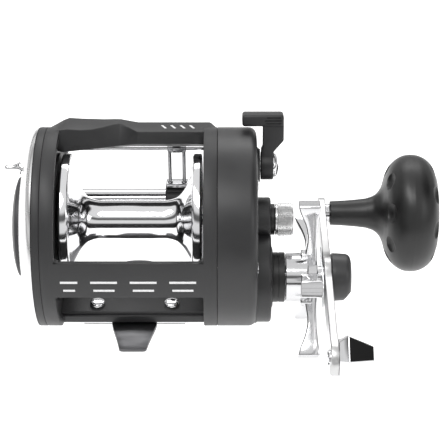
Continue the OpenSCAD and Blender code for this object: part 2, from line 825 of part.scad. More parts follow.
module foot_blade() {
    mid = foot_plate[1] / 2;
    end_w = blade_w[1] / 2;
    mid_w = blade_w[0] / 2;
    tip = foot_len / 2;
    color("#6a6a6c") {
        translate([-foot_plate[0] / 2 + 3, -mid + 1, 0]) cube([foot_plate[0] - 6, 2 * mid - 2, 1.2]);
        for (side = [-1, 1]) scale([1, side, 1]) difference() {
            linear_extrude(2.3) polygon([
                [-mid_w, mid - 1.5], [mid_w, mid - 1.5], [mid_w, mid + 2], [end_w, tip - 0.8],
                [end_w - 1.6, tip], [1.6 - end_w, tip], [-end_w, tip - 0.8], [-mid_w, mid + 2]
            ]);
            translate([-mid_w - 1, mid - 2, 1.2]) cube([2 * mid_w + 2, 2, 2]);
        }
    }
}

module foot_bolts() {
    color("silver") for (x = [-1, 1], y = [-1, 1]) translate([x * bolt_at[0], y * bolt_at[1], 0]) {
        translate([0, 0, 1.3]) cylinder(h = base_top - 1.2, r = 1.95, $fn = 48);
        translate([0, 0, base_top]) cylinder(h = 2.2, r = 3.5, $fn = 48);
    }
}

module plate_screws() {
    color("silver") {
        for (turn = right_screw_turns) at_turn(turn, screw_ring[0], 0, plate_z) {
            rod_x(33.4, face_x, 1.5, fn = 40);
            rod_x(face_x, 56.9, 2.7, fn = 40);
        }
        for (turn = left_screw_turns) at_turn(turn, screw_ring[1], 0, plate_z) {
            rod_x(rim_x, -34.9, 1.5, fn = 40);
            rod_x(rim_x - 1.2, rim_x, 2.4, fn = 40);
        }
    }
}

frame();
left_plate();
silver_ring();
centre_disc();
left_gear_cover();
right_housing();
bridge_plate();
drive_bush();
one_way_bearing();
drive_collar();
tension_seat();
tension_shim();
tension_cap();
spool();
spool_shaft();
spool_bearings();
click_gear();
click_button();
click_spring();
wind_pinion();
wind_idler();
worm_gear();
worm_shaft();
worm_bushes();
worm_tube();
guide_rod();
guide_carriage();
guide_head();
guide_pawl();
pawl_nut();
drive_shaft();
main_gear();
drag_fibre_washers();
drag_steel_washers();
drag_sleeve();
spring_washers();
ratchet_wheel();
ratchet_dog();
drive_pinion();
clutch_yoke();
yoke_posts();
yoke_springs();
clutch_cam();
clutch_lever();
lever_screw();
star_wheel();
arm_spacer();
click_leaf();
crank_arm();
crank_nut();
nut_cap();
knob_post();
knob();
knob_cap();
counterweight();
weight_screw();
foot_base();
foot_blade();
foot_bolts();
plate_screws();
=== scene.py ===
"""Looks for the trolling reel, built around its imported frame. Outlines are in millimetres."""

import json
import math

import bpy
from mathutils import Euler, Matrix, Vector


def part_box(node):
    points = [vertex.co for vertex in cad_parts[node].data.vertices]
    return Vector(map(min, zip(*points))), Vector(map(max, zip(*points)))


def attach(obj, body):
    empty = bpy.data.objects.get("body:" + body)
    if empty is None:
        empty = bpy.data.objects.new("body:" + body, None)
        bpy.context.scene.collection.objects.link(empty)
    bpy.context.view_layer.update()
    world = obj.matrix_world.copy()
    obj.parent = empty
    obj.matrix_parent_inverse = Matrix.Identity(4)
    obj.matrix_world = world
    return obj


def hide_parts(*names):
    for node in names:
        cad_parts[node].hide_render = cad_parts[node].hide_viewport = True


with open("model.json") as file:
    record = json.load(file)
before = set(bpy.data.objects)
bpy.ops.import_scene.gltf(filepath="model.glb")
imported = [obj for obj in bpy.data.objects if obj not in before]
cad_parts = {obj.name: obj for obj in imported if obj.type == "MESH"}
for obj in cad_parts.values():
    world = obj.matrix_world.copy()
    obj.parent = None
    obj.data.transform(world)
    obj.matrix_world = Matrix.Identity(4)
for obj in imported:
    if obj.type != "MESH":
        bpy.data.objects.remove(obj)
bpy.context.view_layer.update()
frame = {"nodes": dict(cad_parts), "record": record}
scene = bpy.context.scene
MM = 0.001


# ---- Places taken from the frame, in millimetres ----

def corners(node):
    low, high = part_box(node)
    return low / MM, high / MM


def middle(node):
    low, high = corners(node)
    return (low + high) / 2


PLATE = middle("left_plate")
SPOOL = middle("tension_cap")
DRIVE = middle("drive_collar")
KNOB = middle("knob")
WEIGHT = middle("weight_screw")
WORM = middle("worm_bushes")
ROD = middle("guide_rod")
GUIDE = middle("guide_head")
LEVER = middle("lever_screw")
# The click button's flange reaches the high corner of its box, so its axis is one radius inside
CLICK_FLANGE = 3.3
CLICK = corners("click_button")[1] - Vector((0, CLICK_FLANGE, CLICK_FLANGE))
FOOT_LOW, FOOT_HIGH = corners("foot_base")


# ---- Modelling by hand: every tool starts with nothing selected ----

def put_down():
    if bpy.context.object and bpy.context.object.mode != "OBJECT":
        bpy.ops.object.mode_set(mode="OBJECT")
    bpy.ops.object.select_all(action="DESELECT")


def pick(piece):
    put_down()
    piece.select_set(True)
    bpy.context.view_layer.objects.active = piece


def new_piece(name):
    piece = bpy.context.object
    piece.name = name
    piece.data.name = name
    return piece


def settle(piece):
    """The piece's place goes into its mesh."""
    pick(piece)
    bpy.ops.object.transform_apply(location=True, rotation=True, scale=True)
    return piece


def edit(piece, select="SELECT"):
    pick(piece)
    bpy.ops.object.mode_set(mode="EDIT")
    bpy.ops.mesh.select_mode(type="VERT")
    bpy.ops.mesh.select_all(action=select)


def choose_faces(piece, test):
    """Selects the faces whose middle and normal pass the test, and leaves the piece in edit mode."""
    edit(piece, "DESELECT")
    bpy.ops.mesh.select_mode(type="FACE")
    bpy.ops.object.mode_set(mode="OBJECT")
    for face in piece.data.polygons:
        face.select = test(face.center / MM, face.normal)
    bpy.ops.object.mode_set(mode="EDIT")


def close_up(piece):
    """Merges doubles and points the faces outwards."""
    edit(piece)
    bpy.ops.mesh.remove_doubles(threshold=0.004 * MM)
    bpy.ops.mesh.delete_loose()
    edit(piece)
    bpy.ops.mesh.normals_make_consistent(inside=False)
    put_down()
    return piece


def block(name, x, y, z):
    """A box between pairs of limits."""
    put_down()
    bpy.ops.mesh.primitive_cube_add(size=1)
    piece = new_piece(name)
    piece.scale = [(side[1] - side[0]) * MM for side in (x, y, z)]
    piece.location = [(side[1] + side[0]) / 2 * MM for side in (x, y, z)]
    return settle(piece)


def rod(name, x, y, z, radius, sides=48):
    """A round bar along X."""
    put_down()
    bpy.ops.mesh.primitive_cone_add(vertices=sides, radius1=radius * MM, radius2=radius * MM,
        depth=(x[1] - x[0]) * MM, location=((x[0] + x[1]) / 2 * MM, y * MM, z * MM),
        rotation=(0, math.pi / 2, 0))
    return settle(new_piece(name))


def post(name, x, y, z, radius, sides=40):
    """A round bar along Z."""
    put_down()
    bpy.ops.mesh.primitive_cylinder_add(vertices=sides, radius=radius * MM, depth=(z[1] - z[0]) * MM,
        location=(x * MM, y * MM, (z[0] + z[1]) / 2 * MM))
    return settle(new_piece(name))


def pulled_line(name, points, closed):
    """A line of points, started as one point and pulled out point by point."""
    put_down()
    bpy.ops.mesh.primitive_plane_add(size=MM)
    piece = new_piece(name)
    edit(piece)
    bpy.ops.mesh.merge(type="CENTER")
    bpy.ops.transform.translate(value=Vector(points[0]) * MM)
    for start, end in zip(points, points[1:]):
        bpy.ops.mesh.extrude_region_move(
            TRANSFORM_OT_translate={"value": (Vector(end) - Vector(start)) * MM})
    if closed:
        bpy.ops.mesh.select_all(action="SELECT")
        bpy.ops.mesh.edge_face_add()
    return piece


def turned(name, outline, y=0.0, z=0.0, steps=128):
    """A lathe piece about X: the outline's points are (x, radius), from axis to axis or a closed loop."""
    points = [(x, y, z + radius) for x, radius in outline]
    if max(outline[0][1], outline[-1][1]) > 0.001:
        points.append(points[0])
    piece = pulled_line(name, points, False)
    bpy.ops.mesh.select_all(action="SELECT")
    bpy.ops.mesh.remove_doubles(threshold=0.001 * MM)
    bpy.ops.mesh.spin(steps=steps, angle=math.tau, center=(0, y * MM, z * MM), axis=(1, 0, 0))
    return close_up(piece)


def slab(name, outline, x0, x1):
    """A flat piece across X: the outline's points are (y, z)."""
    piece = pulled_line(name, [(x0, y, z) for y, z in outline], True)
    bpy.ops.mesh.select_all(action="SELECT")
    bpy.ops.mesh.extrude_region_move(TRANSFORM_OT_translate={"value": ((x1 - x0) * MM, 0, 0)})
    return close_up(piece)


def side_slab(name, outline, y0, y1):
    """A flat piece across Y: the outline's points are (x, z)."""
    piece = pulled_line(name, [(x, y0, z) for x, z in outline], True)
    bpy.ops.mesh.select_all(action="SELECT")
    bpy.ops.mesh.extrude_region_move(TRANSFORM_OT_translate={"value": (0, (y1 - y0) * MM, 0)})
    return close_up(piece)


def choose_edges(piece, test):
    """Selects the edges whose two ends pass the test, and leaves the piece in edit mode."""
    edit(piece, "DESELECT")
    bpy.ops.mesh.select_mode(type="EDGE")
    bpy.ops.object.mode_set(mode="OBJECT")
    points = piece.data.vertices
    for edge in piece.data.edges:
        edge.select = test(*(points[end].co / MM for end in edge.vertices))
    bpy.ops.object.mode_set(mode="EDIT")


def loft(name, sections):
    """A skin over sections across X, each a closed loop of the same number of (x, y, z) points."""
    loops = []
    for number, section in enumerate(sections):
        loops.append(pulled_line(f"{name}_{number}", section, True))
        bpy.ops.mesh.delete(type="ONLY_FACE")
        put_down()
    piece = join(loops)
    piece.name = name
    for one, two in zip(sections, sections[1:]):
        ends = (one[0][0], two[0][0])
        choose_edges(piece, lambda a, b: abs(a.x - b.x) < 0.002 and min(abs(a.x - x) for x in ends) < 0.002)
        bpy.ops.mesh.bridge_edge_loops()
    edit(piece)
    bpy.ops.mesh.fill_holes(sides=0)
    return close_up(piece)


def join(pieces):
    put_down()
    for piece in pieces:
        piece.select_set(True)
    bpy.context.view_layer.objects.active = pieces[0]
    bpy.ops.object.join()
    return pieces[0]


def apply(piece, kind, **settings):
    pick(piece)
    modifier = piece.modifiers.new(kind.title(), kind)
    for key, value in settings.items():
        setattr(modifier, key, value)
    bpy.ops.object.modifier_apply(modifier=modifier.name)
    return piece


def soften(piece, width, segments=2, angle=30):
    """A rounded edge wherever two faces meet more sharply than the angle."""
    return apply(piece, "BEVEL", width=width * MM, segments=segments, limit_method="ANGLE",
        angle_limit=math.radians(angle), miter_outer="MITER_ARC", use_clamp_overlap=True)


def combine(piece, other, operation):
    apply(piece, "BOOLEAN", object=other, operation=operation, solver="EXACT")
    bpy.data.objects.remove(other)
    return piece


def fuse(piece, *others):
    for other in others:
        combine(piece, other, "UNION")
    return piece


def cut(piece, *others):
    for other in others:
        combine(piece, other, "DIFFERENCE")
    return piece


def turn(piece, degrees, y, z):
    """Turns a piece about a line along X."""
    put_down()
    centre = Matrix.Translation((0, y * MM, z * MM))
    piece.matrix_world = centre @ Matrix.Rotation(math.radians(degrees), 4, "X") @ centre.inverted()
    return settle(piece)


def swing(piece, degrees, axis, to=(0, 0, 0)):
    """Turns a new piece about the origin, and then carries it to its place."""
    piece.data.transform(Matrix.Rotation(math.radians(degrees), 4, axis))
    piece.data.transform(Matrix.Translation(Vector(to) * MM))
    return piece


def twin(piece, name):
    """A copy with a mesh of its own."""
    copy = piece.copy()
    copy.data = piece.data.copy()
    copy.name = name
    scene.collection.objects.link(copy)
    return copy


def smooth_curve(points, parts=6):
    """More points through the given ones, on a smooth curve."""
    out = []
    ends = [points[0]] + list(points) + [points[-1]]
    for a, b, c, d in zip(ends, ends[1:], ends[2:], ends[3:]):
        for i in range(parts):
            t = i / parts
            out.append(tuple(0.5 * (2 * q + (r - p) * t + (2 * p - 5 * q + 4 * r - s) * t * t
                + (3 * q - p - 3 * r + s) * t ** 3) for p, q, r, s in zip(a, b, c, d)))
    return out + [tuple(points[-1])]


def finish(piece, finish_name, body, *nodes, angle=32):
    """Smooth shading, its finish, the body it rides on and the nodes it stands for."""
    settle(piece)
    pick(piece)
    bpy.ops.object.shade_smooth_by_angle(angle=math.radians(angle))
    piece.data.materials.clear()
    piece.data.materials.append(FINISHES[finish_name])
    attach(piece, body)
    if nodes:
        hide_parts(*nodes)
    put_down()
    return piece


# ---- Finishes ----

def node(tree, kind, **settings):
    made = tree.nodes.new(kind)
    for key, value in settings.items():
        if key in made.inputs:
            made.inputs[key].default_value = value
        else:
            setattr(made, key, value)
    return made


def start_finish(name, colour, roughness, metallic=0.0):
    material = bpy.data.materials.new(name)
    material.use_nodes = True
    tree = material.node_tree
    shader = tree.nodes["Principled BSDF"]
    shader.inputs["Base Color"].default_value = (*colour, 1)
    shader.inputs["Roughness"].default_value = roughness
    shader.inputs["Metallic"].default_value = metallic
    place = node(tree, "ShaderNodeTexCoord")
    return material, tree, shader, place.outputs["Object"]


def noise(tree, place, scale, detail=3.0):
    grain = node(tree, "ShaderNodeTexNoise", Scale=scale, Detail=detail)
    tree.links.new(place, grain.inputs["Vector"])
    return grain.outputs["Fac"]


def spread(tree, value, low, high):
    """Turns a noise value into the range low to high."""
    span = node(tree, "ShaderNodeMapRange")
    span.inputs["From Min"].default_value = 0.3
    span.inputs["From Max"].default_value = 0.7
    span.inputs["To Min"].default_value = low
    span.inputs["To Max"].default_value = high
    tree.links.new(value, span.inputs["Value"])
    return span.outputs["Result"]


def vary_colour(tree, shader, value, dark, light):
    blend = node(tree, "ShaderNodeMix", data_type="RGBA")
    blend.inputs["A"].default_value = (*dark, 1)
    blend.inputs["B"].default_value = (*light, 1)
    tree.links.new(value, blend.inputs["Factor"])
    tree.links.new(blend.outputs["Result"], shader.inputs["Base Color"])


def raise_surface(tree, shader, value, strength, depth):
    bump = node(tree, "ShaderNodeBump", Strength=strength, Distance=depth * MM)
    tree.links.new(value, bump.inputs["Height"])
    tree.links.new(bump.outputs["Normal"], shader.inputs["Normal"])


def round_lines(tree, place, y, z, across, along):
    """Fine lines that a lathe leaves round an axis along X."""
    centred = node(tree, "ShaderNodeMapping", vector_type="POINT")
    centred.inputs["Location"].default_value = (0, -y * MM, -z * MM)
    tree.links.new(place, centred.inputs["Vector"])
    flat = node(tree, "ShaderNodeVectorMath", operation="MULTIPLY")
    flat.inputs[1].default_value = (0, 1, 1)
    tree.links.new(centred.outputs["Vector"], flat.inputs[0])
    radius = node(tree, "ShaderNodeVectorMath", operation="LENGTH")
    tree.links.new(flat.outputs["Vector"], radius.inputs[0])
    split = node(tree, "ShaderNodeSeparateXYZ")
    tree.links.new(centred.outputs["Vector"], split.inputs["Vector"])
    path = node(tree, "ShaderNodeCombineXYZ")
    tree.links.new(split.outputs["X"], path.inputs["X"])
    tree.links.new(radius.outputs["Value"], path.inputs["Y"])
    stretch = node(tree, "ShaderNodeMapping", vector_type="POINT")
    stretch.inputs["Scale"].default_value = (along, across, 1)
    tree.links.new(path.outputs["Vector"], stretch.inputs["Vector"])
    lines = node(tree, "ShaderNodeTexNoise", Scale=1.0, Detail=4.0)
    tree.links.new(stretch.outputs["Vector"], lines.inputs["Vector"])
    return lines.outputs["Fac"]


def moulded_plastic(name, dark, light, roughness, grain, depth, gloss=0.5):
    """Sparked or satin plastic: a fine even grain, a slow drift of tone and rubbed patches."""
    material, tree, shader, place = start_finish(name, dark, roughness)
    shader.inputs["Specular IOR Level"].default_value = gloss
    fine = noise(tree, place, grain, 2.0)
    slow = noise(tree, place, 60.0, 4.0)
    vary_colour(tree, shader, spread(tree, slow, 0.0, 1.0), dark, light)
    tree.links.new(spread(tree, slow, roughness - 0.05, roughness + 0.06), shader.inputs["Roughness"])
    raise_surface(tree, shader, fine, 0.55, depth)
    return material


def polished_metal(name, colour, roughness, smudge, axis=None, lines=2600.0, depth=0.004):
    """Bright metal with faint handling marks, and lathe lines where it has an axis."""
    material, tree, shader, place = start_finish(name, colour, roughness, 1.0)
    slow = noise(tree, place, 110.0, 5.0)
    tree.links.new(spread(tree, slow, roughness, roughness + smudge), shader.inputs["Roughness"])
    warm = tuple(c * 0.93 for c in colour)
    vary_colour(tree, shader, spread(tree, noise(tree, place, 45.0, 3.0), 0.0, 1.0), warm, colour)
    if axis is not None:
        raise_surface(tree, shader, round_lines(tree, place, axis.y, axis.z, lines, lines), 0.22, depth)
    else:
        raise_surface(tree, shader, noise(tree, place, 900.0, 2.0), 0.12, depth)
    return material


def brushed_metal(name, colour, roughness, stretch):
    """Satin metal with fine lines along one direction."""
    material, tree, shader, place = start_finish(name, colour, roughness, 1.0)
    along = node(tree, "ShaderNodeMapping", vector_type="POINT")
    along.inputs["Scale"].default_value = stretch
    tree.links.new(place, along.inputs["Vector"])
    lines = noise(tree, along.outputs["Vector"], 1.0, 5.0)
    tree.links.new(spread(tree, lines, roughness - 0.05, roughness + 0.09), shader.inputs["Roughness"])
    vary_colour(tree, shader, spread(tree, noise(tree, place, 70.0, 4.0), 0.0, 1.0),
        tuple(c * 0.88 for c in colour), colour)
    raise_surface(tree, shader, lines, 0.2, 0.006)
    return material


def fibre_board(name):
    """Pressed fibre: short flecks of brown on a darker ground."""
    material, tree, shader, place = start_finish(name, (0.07, 0.045, 0.025), 0.8)
    flecks = noise(tree, place, 1500.0, 6.0)
    vary_colour(tree, shader, spread(tree, flecks, 0.0, 1.0), (0.04, 0.026, 0.015), (0.16, 0.11, 0.065))
    raise_surface(tree, shader, flecks, 0.5, 0.02)
    return material


def printed_ink(name):
    """White pad print, a little thin in places."""
    material, tree, shader, place = start_finish(name, (0.85, 0.85, 0.85), 0.55)
    thin = noise(tree, place, 2500.0, 3.0)
    vary_colour(tree, shader, spread(tree, thin, 0.0, 1.0), (0.66, 0.66, 0.67), (0.95, 0.95, 0.95))
    raise_surface(tree, shader, thin, 0.3, 0.004)
    return material


FINISHES = {
    "frame_plastic": moulded_plastic("frame_plastic", (0.018, 0.018, 0.019), (0.026, 0.026, 0.027),
        0.50, 4200.0, 0.035),
    "housing_plastic": moulded_plastic("housing_plastic", (0.014, 0.014, 0.015), (0.020, 0.020, 0.021),
        0.42, 5200.0, 0.018, 0.6),
    "inner_plastic": moulded_plastic("inner_plastic", (0.010, 0.010, 0.011), (0.015, 0.015, 0.016),
        0.48, 3600.0, 0.02),
    "black_plastic": moulded_plastic("black_plastic", (0.007, 0.007, 0.007), (0.011, 0.011, 0.011),
        0.40, 3800.0, 0.015),
    "lever_plastic": moulded_plastic("lever_plastic", (0.016, 0.016, 0.017), (0.024, 0.024, 0.025),
        0.50, 4600.0, 0.022),
    "cap_plastic": moulded_plastic("cap_plastic", (0.030, 0.030, 0.031), (0.042, 0.042, 0.043),
        0.42, 4200.0, 0.012),
    "knob_rubber": moulded_plastic("knob_rubber", (0.006, 0.006, 0.006), (0.009, 0.009, 0.009),
        0.40, 2600.0, 0.008, 0.55),
    "dark_disc": moulded_plastic("dark_disc", (0.045, 0.045, 0.048), (0.062, 0.062, 0.066),
        0.46, 3000.0, 0.010, 0.35),
    "bright_metal": polished_metal("bright_metal", (0.82, 0.82, 0.82), 0.26, 0.04, PLATE, 2400.0, 0.002),
    "spool_aluminium": polished_metal("spool_aluminium", (0.84, 0.84, 0.85), 0.08, 0.04,
        SPOOL, 2200.0, 0.0015),
    "arm_aluminium": brushed_metal("arm_aluminium", (0.66, 0.66, 0.66), 0.34, (900, 60, 900)),
    "chrome": polished_metal("chrome", (0.78, 0.78, 0.79), 0.06, 0.03),
    "star_chrome": polished_metal("star_chrome", (0.72, 0.72, 0.73), 0.10, 0.05),
    "guide_steel": polished_metal("guide_steel", (0.40, 0.40, 0.41), 0.14, 0.06),
    "foot_metal": brushed_metal("foot_metal", (0.13, 0.13, 0.135), 0.34, (90, 500, 500)),
    "inner_steel": polished_metal("inner_steel", (0.56, 0.57, 0.58), 0.22, 0.10, SPOOL, 2000.0, 0.004),
    "brass": polished_metal("brass", (0.72, 0.52, 0.23), 0.24, 0.12, DRIVE, 1600.0, 0.004),
    "gear_nylon": moulded_plastic("gear_nylon", (0.62, 0.60, 0.54), (0.70, 0.68, 0.62), 0.45, 1600.0, 0.01),
    "fibre": fibre_board("fibre"),
    "white_ink": printed_ink("white_ink"),
}

# Every carried-over node takes the finish that the record gives it
for part in frame["record"]["subparts"]:
    cad_mesh = frame["nodes"][part["node"]].data
    cad_mesh.materials.clear()
    cad_mesh.materials.append(FINISHES[part["material_slot"]])


# ---- Frame: two rings, a sculpted top bar, a rear bar and a base ----

def frame_ring(name, side):
    outline = [(32, 44.8), (38, 44.8), (38, 33), (33.4, 33), (33.4, 40), (32, 41.4)]
    ring = turned(name, [(side * x, radius) for x, radius in outline], PLATE.y, PLATE.z, 160)
    return soften(ring, 0.35, 2, 40)


def top_bar():
    # each section: x, then top front, front face, chin, front foot, underside, rear foot, rear ridge
    chin, foot = (34, 29.2), (29, 24.8)
    stations = [
        (-37.6, (24.4, 37.5), (29.4, 33.6), (20, 29.4), (10, 36), (9, 43.6)),
        (-34.6, (25.6, 38.7), (30, 34.8), (20, 28.6), (10.2, 34), (10, 43.7)),
        (-31.5, (27, 40), (30.4, 36), (20, 28.6), (10.6, 32.6), (11, 43.7)),
        (-28.9, (27.6, 40.8), (30.6, 36.4), (20, 28.6), (11, 32.6), (11.8, 43.6)),
        (-23, (27.4, 40.5), (30.6, 36.2), (20, 28.8), (11.2, 33.2), (12, 43.1)),
        (-18, (27.3, 40.4), (30.5, 36), (20, 29), (11.5, 33.7), (12.8, 43)),
        (-13, (27.2, 40.3), (30.4, 35.9), (20, 29.2), (11.8, 34.2), (14.5, 43.2)),
        (-8.6, (27.2, 40.4), (30.4, 35.8), (20, 29.6), (12.2, 34.6), (17, 43.2)),
        (-5.4, (27.2, 40.3), (30.2, 35.4), (20, 30), (12.6, 35), (18.5, 42.9)),
        (-1.6, (26.6, 39.8), (29.9, 34.8), (20, 30.5), (12.8, 35.2), (16, 42.4)),
        (2.3, (26, 39.4), (29.7, 34.7), (20, 30.8), (13, 35.4), (12.5, 42)),
        (34.8, (26, 39.4), (29.7, 34.7), (20, 30.8), (13, 35.4), (12.5, 42)),
        (37.6, (24.4, 37.5), (28.6, 33.6), (20, 30.8), (13, 35.4), (12.5, 41.6)),
    ]
    sections = []
    for x, top, front, under, rear, ridge in stations:
        loop = (top, front, chin, foot, under, rear, ridge)
        sections.append([(x, PLATE.y + y, PLATE.z + z) for y, z in loop])
    return soften(loft("top_bar", sections), 0.5, 3, 24)


def rear_bar():
    low, high = 168.1, 190.6
    start = (math.cos(math.radians(low)), math.sin(math.radians(low)))
    corners_at = [(-37, 41.2), (37, 41.2), (37, 44.78), (-37, 44.78)]
    loop = [(x, PLATE.y + r * start[0], PLATE.z + r * start[1]) for x, r in corners_at]
    bar = pulled_line("rear_bar", loop, True)
    bpy.ops.mesh.select_all(action="SELECT")
    bpy.ops.mesh.spin(steps=12, angle=-math.radians(high - low), center=(0, PLATE.y * MM, PLATE.z * MM),
        axis=(1, 0, 0))
    edit(bar)
    bpy.ops.mesh.remove_doubles(threshold=0.004 * MM)
    bpy.ops.mesh.fill_holes(sides=0)
    return soften(close_up(bar), 0.3, 2, 40)


def corner_fillet(side, edge, way):
    """Rounds the corner between a ring and the rear bar's edge."""
    size = 2.0
    arc = [(side * (30 + size * math.cos(a)), edge + way * (size - size * math.sin(a)))
        for a in (math.radians(90 - i * 15) for i in range(7))]
    outline = [(side * 32.3, edge - way * 0.3), (side * 30, edge - way * 0.3)] + arc
    outline.append((side * 32.3, edge + way * size))
    return side_slab("fillet", outline, -43.2, -40.8)


def reel_frame():
    left, right = frame_ring("reel_frame", -1), frame_ring("right_ring", 1)
    base = soften(block("base", (-37.8, 37.8), (-16, 16), (2.32, 8)), 0.7, 3)
    lower_web = soften(block("lower_web", (-37.8, 37.8), (-17.4, -15.2), (3.2, 6.8)), 0.3, 2)
    piece = fuse(left, right, rear_bar(), top_bar(), base, lower_web)
    for side in (-1, 1):
        fuse(piece, corner_fillet(side, 53.5, 1), corner_fillet(side, 36, -1))
    # room for the worm's gear, and the seats of its bushes
    cut(piece, rod("worm_bore", (-39, -34.2), WORM.y, WORM.z, 6.7),
        rod("worm_seat", (-34.4, 39), WORM.y, WORM.z, 3.2))
    return finish(close_up(piece), "frame_plastic", "root", "frame")


reel_frame()


# ---- Left side ----

def left_plate():
    outline = [(-41.4, 6.1), (-41.4, 44.8), (-38.04, 44.8), (-38.04, 6.1)]
    piece = soften(turned("plate_rim", outline, PLATE.y, PLATE.z, 160), 0.3, 2, 40)
    cut(piece, rod("bearing_bore", (-42, -37), SPOOL.y, SPOOL.z, 6.02))
    return finish(piece, "frame_plastic", "root", "left_plate")


def silver_ring():
    crown = smooth_curve([(-41.6, 44.75), (-43, 44.2), (-44.1, 42.9), (-45.2, 40.6), (-46.2, 37.6),
        (-47.2, 34), (-48, 30.5), (-48.7, 26.8), (-49.3, 22.9)], 4)
    inside = smooth_curve([(-47.3, 20), (-46.9, 24), (-46, 30.2), (-44.5, 36.6), (-43.6, 40),
        (-43, 42.6), (-41.42, 43.2)], 3)
    outline = crown + [(-49.2, 22.55), (-48.15, 22.5), (-48.1, 20)] + inside
    piece = turned("silver_ring", outline, PLATE.y, PLATE.z, 192)
    # slot for the click button: a bar with round ends
    angle = math.degrees(math.atan2(CLICK.z - PLATE.z, CLICK.y - PLATE.y))
    through, ends, half = (-51, -44), (25.4, 28), 1.9
    slot = block("slot", through, ends, (-half, half))
    fuse(slot, rod("slot_end", through, ends[0], 0, half), rod("slot_start", through, ends[1], 0, half))
    cut(piece, swing(slot, angle, "X", (0, PLATE.y, PLATE.z)))
    return finish(piece, "bright_metal", "root", "silver_ring")


def centre_disc():
    face = smooth_curve([(-50.8, 22.3), (-51.3, 21.7), (-52.5, 17.6), (-53.3, 12), (-53.7, 6),
        (-53.8, 0.0)], 5)
    face[-1] = (-53.8, 0.0)
    outline = [(-48.1, 0), (-48.1, 22.4), (-50.6, 22.4)] + face
    piece = turned("centre_disc", outline, PLATE.y, PLATE.z, 128)
    # the middle is a shallow turned step
    choose_faces(piece, lambda c, n: c.x < -53.2 and math.hypot(c.y - PLATE.y, c.z - PLATE.z) < 12)
    bpy.ops.mesh.inset(thickness=0.5 * MM, depth=-0.18 * MM)
    put_down()
    return finish(piece, "dark_disc", "root", "centre_disc", angle=24)


def click_button():
    y, z = CLICK.y, CLICK.z
    stud = [(-44, 0), (-44, CLICK_FLANGE), (-45.5, CLICK_FLANGE), (-45.5, 1.5), (-49.5, 1.5), (-49.5, 2.8),
        (-50, 2.8)]
    flare = smooth_curve([(-50.1, 2.75), (-50.7, 2.4), (-51.6, 1.85), (-53, 1.45), (-54.4, 1.35),
        (-55.5, 1.45), (-56.3, 1.25), (-56.75, 0.75), (-56.88, 0.0)], 4)
    flare[-1] = (-56.88, 0.0)
    piece = turned("click_button", stud + flare, y, z, 64)
    reach = math.hypot(y - SPOOL.y, z - SPOOL.z)
    angle = math.degrees(math.atan2(z - SPOOL.z, y - SPOOL.y))
    tongue = soften(block("tongue", (-45.6, -44.02), (8.8, reach), (-1.5, 1.5)), 0.2)
    fuse(piece, swing(tongue, angle, "X", (0, SPOOL.y, SPOOL.z)))
    return finish(piece, "chrome", "click", "click_button")


left_plate()
silver_ring()
centre_disc()
click_button()


# ---- Right side ----

def right_housing():
    def corner(x, r, size, start, end, parts=6):
        return [(x + size * math.cos(a), r + size * math.sin(a))
            for a in (math.radians(start + (end - start) * i / parts) for i in range(parts + 1))]
    shell = ([(38.05, 42.8), (38.05, 44.55), (38.3, 44.8)] + corner(52, 41.3, 3.5, 90, 0)
        + [(55.5, 0.5), (53.4, 0.5), (53.4, 41.2), (52, 42.8)])
    body = turned("right_housing", shell, PLATE.y, PLATE.z, 192)
    boss_outline = ([(53.6, 0.0), (53.6, 20.7), (55.5, 20.7)] + corner(56.0, 20.7, 0.5, 180, 270, 4)
        + corner(60.6, 18.8, 1.4, 90, 0, 5) + [(62, 0.0)])
    boss = turned("boss", boss_outline, DRIVE.y, DRIVE.z, 128)
    cheek = ([(53.6, 0.0), (53.6, 11.2), (55.4, 11.2)] + corner(56.6, 11.1, 1.1, 180, 270, 4)
        + corner(60.8, 8.9, 1.1, 90, 0, 4) + [(61.9, 0.0)])
    seat = turned("tension_boss", cheek, SPOOL.y, SPOOL.z, 96)
    pad = turned("lever_pad", [(53.6, 0), (53.6, 8.4), (55.7, 8.4), (56.4, 7.6), (57, 7.4), (57, 0)],
        LEVER.y, LEVER.z, 72)
    fuse(body, boss, seat, pad)
    gear_room = [(53, 0), (53, 17.1), (60.2, 17.1), (60.2, 7.45), (63, 7.45), (63, 0)]
    spool_room = [(52.8, 0), (52.8, 8.5), (56.3, 8.5), (56.3, 6.02), (59.6, 6.02), (59.6, 3),
        (63, 3), (63, 0)]
    cut(body, turned("gear_room", gear_room, DRIVE.y, DRIVE.z, 90),
        turned("spool_room", spool_room, SPOOL.y, SPOOL.z, 70),
        rod("lever_hole", (52.6, 57.6), LEVER.y, LEVER.z, 3.06, 50))
    return finish(body, "housing_plastic", "root", "right_housing", angle=28)


def drive_collar():
    outline = [(62, 7.45), (62, 13.3), (62.2, 13.5), (62.5, 13.5), (62.7, 13.3), (62.75, 11.6), (63, 11.25),
        (65.1, 11.25), (65.2, 11.05), (65.45, 11.05), (65.55, 11.25), (67.9, 11.25), (68.2, 10.95),
        (68.2, 5.6), (64.3, 5.6), (64.3, 7.45)]
    piece = turned("drive_collar", outline, DRIVE.y, DRIVE.z, 128)
    return finish(piece, "black_plastic", "root", "drive_collar")


def tension_seat():
    outline = [(61.9, 3), (61.9, 6.8), (62.1, 7), (63.5, 7), (63.7, 6.8), (63.8, 5.2), (68.3, 5.2),
        (68.5, 5), (68.5, 3)]
    piece = turned("tension_seat", outline, SPOOL.y, SPOOL.z, 96)
    return finish(piece, "black_plastic", "root", "tension_seat")


